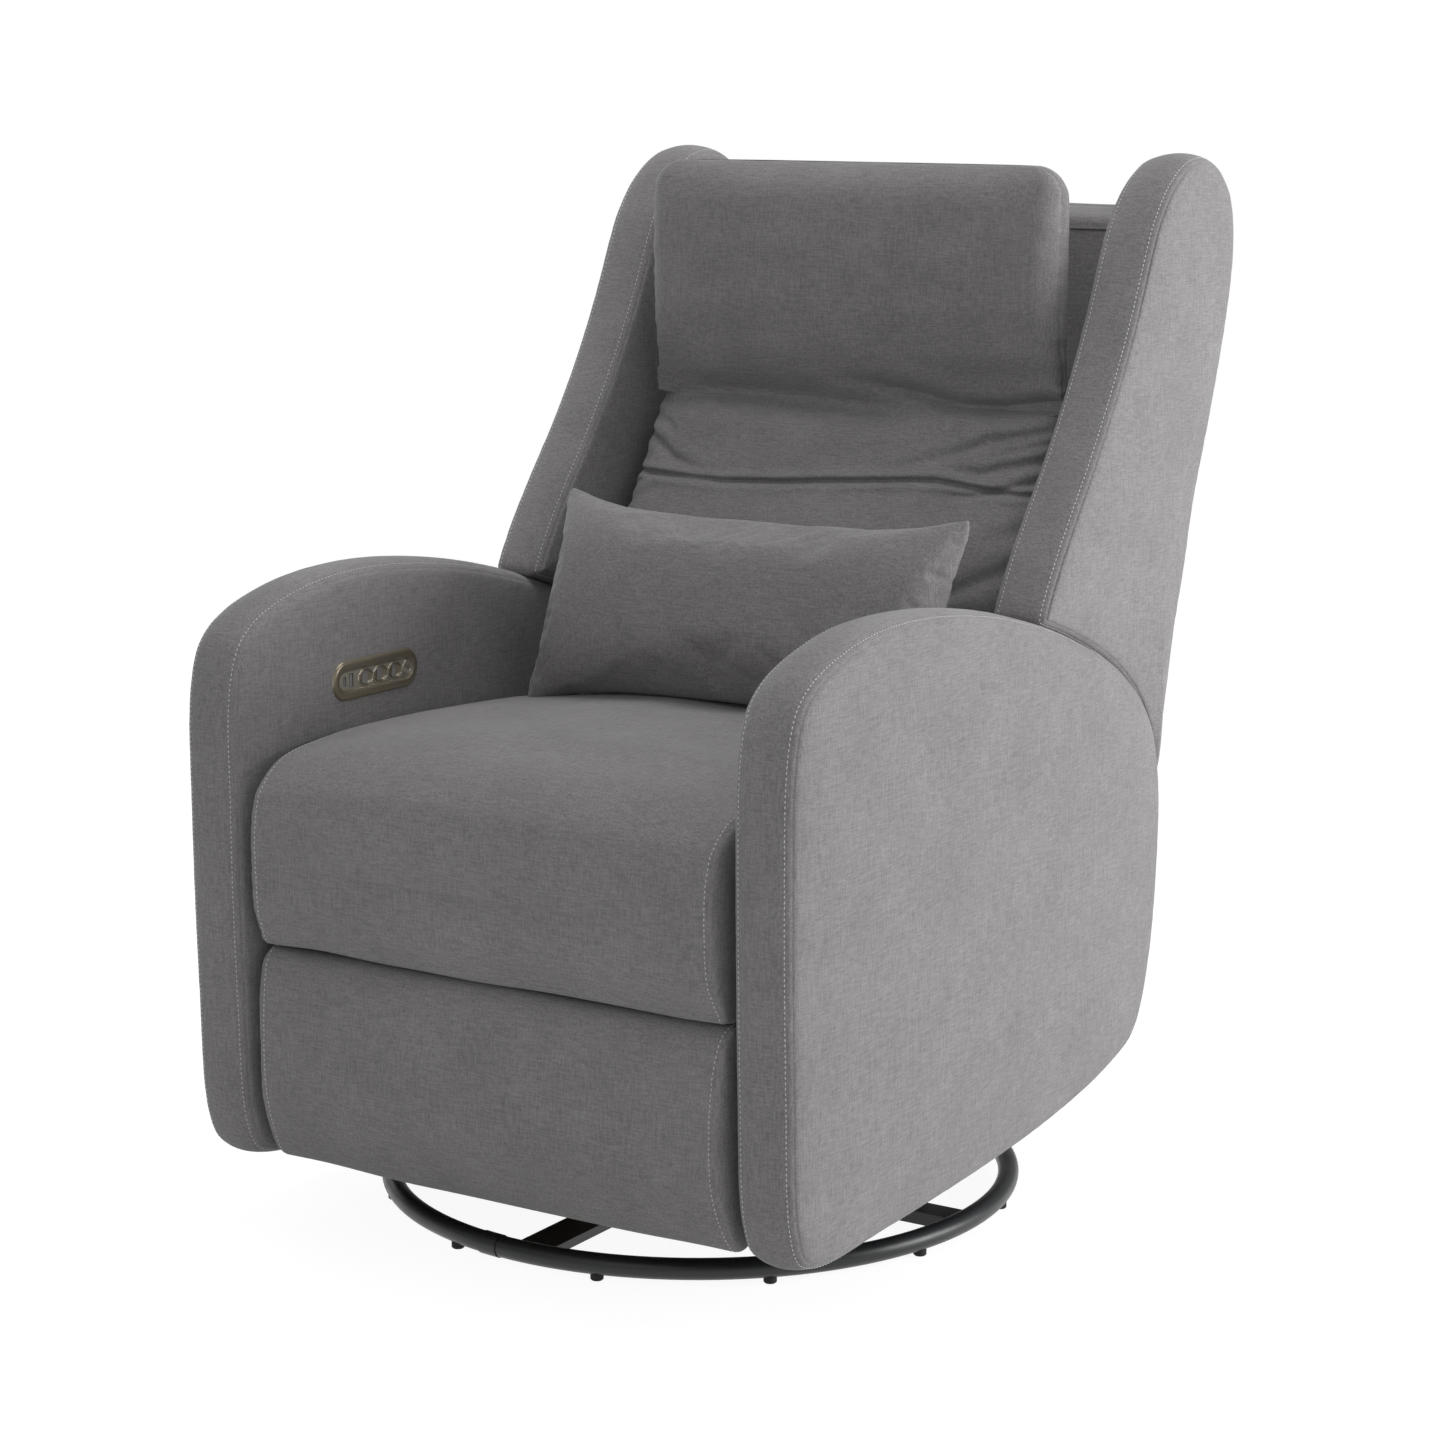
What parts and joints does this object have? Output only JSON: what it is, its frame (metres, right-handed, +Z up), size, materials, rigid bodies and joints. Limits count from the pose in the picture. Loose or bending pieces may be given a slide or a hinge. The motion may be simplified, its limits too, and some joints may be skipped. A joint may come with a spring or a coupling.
{
  "type": "glider nursery chair",
  "caption": "Upholstered power recliner on a round swivel glider base, with wings, tilting headrest, fold-out footrest and loose lumbar pillow.",
  "frame": {"origin": "on the floor, at the middle of the chair's outer box", "axes": "+Z up, the sitter faces -Y, the sitter's left arm is at +X"},
  "size_m": [0.708, 0.9256, 1.0441],
  "materials": {
    "painted_steel": "black satin powder coat",
    "rubber_feet": "moulded rubber",
    "zinc_steel": "bright zinc",
    "track_aluminium": "drawn aluminium",
    "black_plastic": "moulded black plastic",
    "bare_wood": "bare plywood and pine",
    "elastic_webbing": "woven elastic webbing",
    "cover_cloth": "charcoal grey woven upholstery cloth",
    "shaded_cloth": "charcoal grey woven upholstery cloth",
    "bronze_metal": "satin champagne metallic paint"
  },
  "bodies": {
    "base": {"base_ring": "painted_steel", "ring_sleeve": "painted_steel", "ring_feet": "rubber_feet", "base_bar_long": "painted_steel", "base_bars_side": "painted_steel", "swivel_lower_plate": "zinc_steel", "king_pin": "zinc_steel", "bearing_balls": "zinc_steel", "ball_cage": "black_plastic"},
    "carriage": {"swivel_upper_plate": "zinc_steel", "glide_cross_bars": "painted_steel", "glide_rails": "painted_steel", "glide_upper_pins": "zinc_steel"},
    "glide_front": {"glide_front_links": "painted_steel"},
    "glide_rear": {"glide_rear_links": "painted_steel"},
    "seat": {"mechanism_plates": "painted_steel", "mechanism_pins": "zinc_steel", "cross_tubes": "painted_steel", "seat_rails_cross": "bare_wood", "seat_rails_side": "bare_wood", "seat_webbing": "elastic_webbing", "seat_cushion": "cover_cloth", "arm_left": "cover_cloth", "arm_right": "cover_cloth", "arm_boards": "bare_wood", "arm_bolts": "zinc_steel", "rear_battens": "bare_wood", "rear_panel": "cover_cloth", "panel_bezel": "bronze_metal", "panel_face": "bronze_metal", "usb_ports": "zinc_steel", "switch_box": "black_plastic", "actuator_motor": "black_plastic", "actuator_track": "track_aluminium", "power_box": "black_plastic"},
    "front_links": {"footrest_front_links": "painted_steel"},
    "rear_links": {"footrest_rear_links": "painted_steel", "drive_tube": "painted_steel"},
    "long_links": {"footrest_long_links": "painted_steel"},
    "turning_links": {"footrest_turning_links": "painted_steel"},
    "footrest": {"footrest_brackets": "painted_steel", "footrest_board": "bare_wood", "footrest_pad": "cover_cloth"},
    "drive_nut": {"actuator_nut": "black_plastic"},
    "back": {"back_brackets": "painted_steel", "back_stiles": "bare_wood", "back_rails": "bare_wood", "back_cushion": "shaded_cloth", "outer_back": "cover_cloth", "wing_left": "cover_cloth", "wing_right": "cover_cloth", "headrest_brackets": "painted_steel", "headrest_rod": "zinc_steel"},
    "headrest": {"headrest_frame": "painted_steel", "head_cushion": "shaded_cloth"},
    "pillow": {"lumbar_pillow": "shaded_cloth"},
    "recline_out_button": {"button_recline_out": "bronze_metal"},
    "recline_in_button": {"button_recline_in": "bronze_metal"},
    "head_button": {"button_head": "bronze_metal"},
    "home_button": {"button_home": "bronze_metal"}
  },
  "joints": [
    {"name": "swivel", "type": "hinge", "parent": "base", "child": "carriage", "pos_m": [0, -0.069, 0.02], "axis": [0, 0, 1], "continuous": true},
    {"name": "glide", "type": "hinge", "parent": "carriage", "child": "glide_rear", "pos_m": [0, 0.051, 0.165], "axis": [1, 0, 0], "range_deg": [-25, 25]},
    {"name": "glide_front_pivot", "type": "hinge", "parent": "carriage", "child": "glide_front", "pos_m": [0, -0.189, 0.165], "axis": [1, 0, 0], "range_deg": [-25, 25]},
    {"name": "seat_level", "type": "hinge", "parent": "glide_rear", "child": "seat", "pos_m": [0, 0.051, 0.065], "axis": [1, 0, 0], "range_deg": [-25, 25]},
    {"name": "footrest_open", "type": "hinge", "parent": "seat", "child": "front_links", "pos_m": [0, -0.344, 0.231], "axis": [-1, 0, 0], "range_deg": [0, 107]},
    {"name": "rear_link_pivot", "type": "hinge", "parent": "seat", "child": "rear_links", "pos_m": [0, -0.29965, 0.20791], "axis": [-1, 0, 0], "range_deg": [0, 107]},
    {"name": "long_link_pivot", "type": "hinge", "parent": "front_links", "child": "long_links", "pos_m": [0, -0.26948, 0.0782], "axis": [-1, 0, 0], "range_deg": [-107, 0]},
    {"name": "turning_link_pivot", "type": "hinge", "parent": "front_links", "child": "turning_links", "pos_m": [0, -0.27362, 0.04446], "axis": [-1, 0, 0], "range_deg": [-107, 0]},
    {"name": "footrest_turn", "type": "hinge", "parent": "long_links", "child": "footrest", "pos_m": [0, -0.34798, 0.21417], "axis": [-1, 0, 0], "range_deg": [0, 90]},
    {"name": "nut_slide", "type": "slide", "parent": "seat", "child": "drive_nut", "axis": [0, 1, 0], "range_m": [0, 0.08039]},
    {"name": "recline", "type": "hinge", "parent": "seat", "child": "back", "pos_m": [0, 0.161, 0.33], "axis": [-1, 0, 0], "range_deg": [0, 30]},
    {"name": "head_tilt", "type": "hinge", "parent": "back", "child": "headrest", "pos_m": [0, 0.25, 0.795], "axis": [1, 0, 0], "range_deg": [-12, 22]},
    {"name": "pillow_lift", "type": "slide", "parent": "seat", "child": "pillow", "axis": [0, 0, 1], "range_m": [0, 0.15]},
    {"name": "recline_out_press", "type": "slide", "parent": "seat", "child": "recline_out_button", "axis": [-1, 0, 0], "range_m": [0, 0.0015], "stiffness_N_per_m": 800},
    {"name": "recline_in_press", "type": "slide", "parent": "seat", "child": "recline_in_button", "axis": [-1, 0, 0], "range_m": [0, 0.0015], "stiffness_N_per_m": 800},
    {"name": "head_press", "type": "slide", "parent": "seat", "child": "head_button", "axis": [-1, 0, 0], "range_m": [0, 0.0015], "stiffness_N_per_m": 800},
    {"name": "home_press", "type": "slide", "parent": "seat", "child": "home_button", "axis": [-1, 0, 0], "range_m": [0, 0.0015], "stiffness_N_per_m": 800}
  ],
  "couplings": [
    {"joint": "glide_front_pivot", "follows": "glide", "ratio": 1},
    {"joint": "seat_level", "follows": "glide", "ratio": -1},
    {"joint": "rear_link_pivot", "follows": "footrest_open", "ratio": 1},
    {"joint": "long_link_pivot", "follows": "footrest_open", "ratio": -1},
    {"joint": "turning_link_pivot", "follows": "footrest_open", "ratio": -1},
    {"joint": "footrest_turn", "follows": "footrest_open", "ratio": 0.84112},
    {"joint": "nut_slide", "follows": "footrest_open", "m_per_rad": 0.043044}
  ]
}
